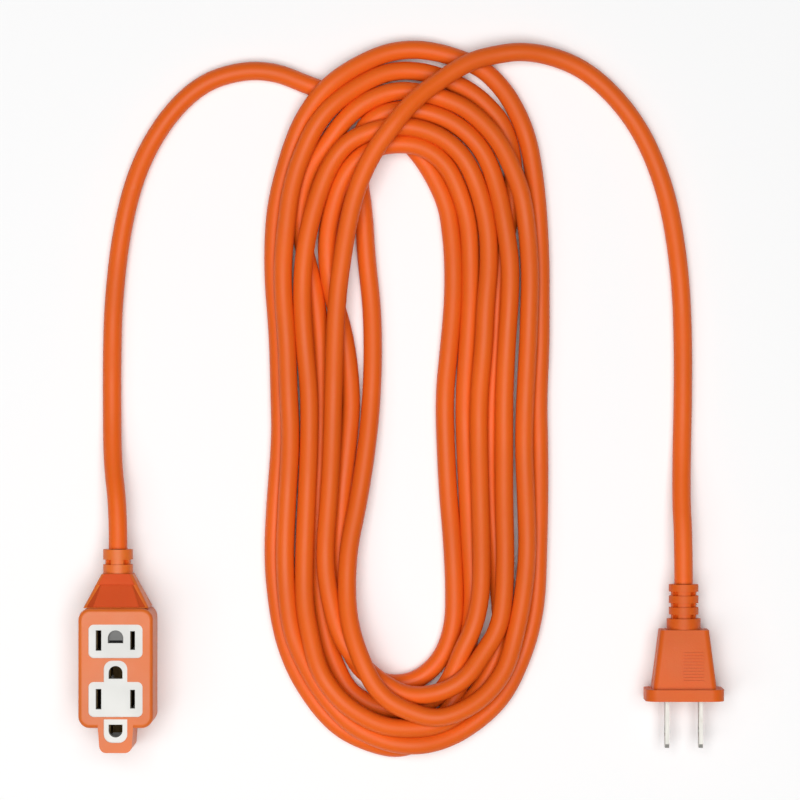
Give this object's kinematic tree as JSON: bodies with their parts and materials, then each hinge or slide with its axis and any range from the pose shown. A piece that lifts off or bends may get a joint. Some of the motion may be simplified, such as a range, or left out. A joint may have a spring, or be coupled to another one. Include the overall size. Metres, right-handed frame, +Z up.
{
  "type": "extension cord",
  "caption": "Round-sheathed household extension cord, coiled in flat oval turns, with a side-outlet block at one end and a two-blade plug at the other.",
  "frame": {"origin": "under the middle of the outlet block, on the surface that the cord lies on", "axes": "+X across the block's outlets, +Y along the block towards its cord, +Z up out of the outlet faces"},
  "size_m": [0.242, 0.2703, 0.027],
  "materials": {
    "block_orange": "moulded soft PVC, satin",
    "plug_orange": "moulded soft PVC, satin",
    "cord_orange": "extruded PVC sheath, satin",
    "core_white": "moulded hard plastic, matt",
    "brass": "stamped sheet, bright",
    "blade_metal": "nickel-plated brass, bright",
    "copper": "bare copper strands",
    "wire_white": "PVC insulation",
    "wire_black": "PVC insulation"
  },
  "bodies": {
    "root": {"block_jacket": "block_orange", "block_front_core": "core_white", "block_rear_core": "core_white", "block_neutral_bus": "brass", "block_neutral_contact_upper": "brass", "block_neutral_contact_lower": "brass", "block_hot_bus": "brass", "block_hot_contact_upper": "brass", "block_hot_contact_lower": "brass", "block_contact_rivets": "brass", "block_ground_contact_middle": "brass", "block_ground_contact_end": "brass", "block_ground_strap": "brass", "cord_end_in_block": "cord_orange", "block_neutral_crimp": "brass", "block_neutral_strands": "copper", "block_neutral_wire": "wire_white", "block_hot_crimp": "brass", "block_hot_strands": "copper", "block_hot_wire": "wire_black", "cord_block_stretch": "cord_orange", "cord_coil": "cord_orange", "cord_plug_stretch": "cord_orange", "plug_jacket": "plug_orange", "plug_blade_bridge": "core_white", "plug_neutral_blade": "blade_metal", "plug_neutral_crimp": "brass", "plug_neutral_strands": "copper", "plug_neutral_wire": "wire_white", "plug_hot_blade": "blade_metal", "plug_hot_crimp": "brass", "plug_hot_strands": "copper", "plug_hot_wire": "wire_black", "cord_end_in_plug": "cord_orange"}
  },
  "joints": []
}
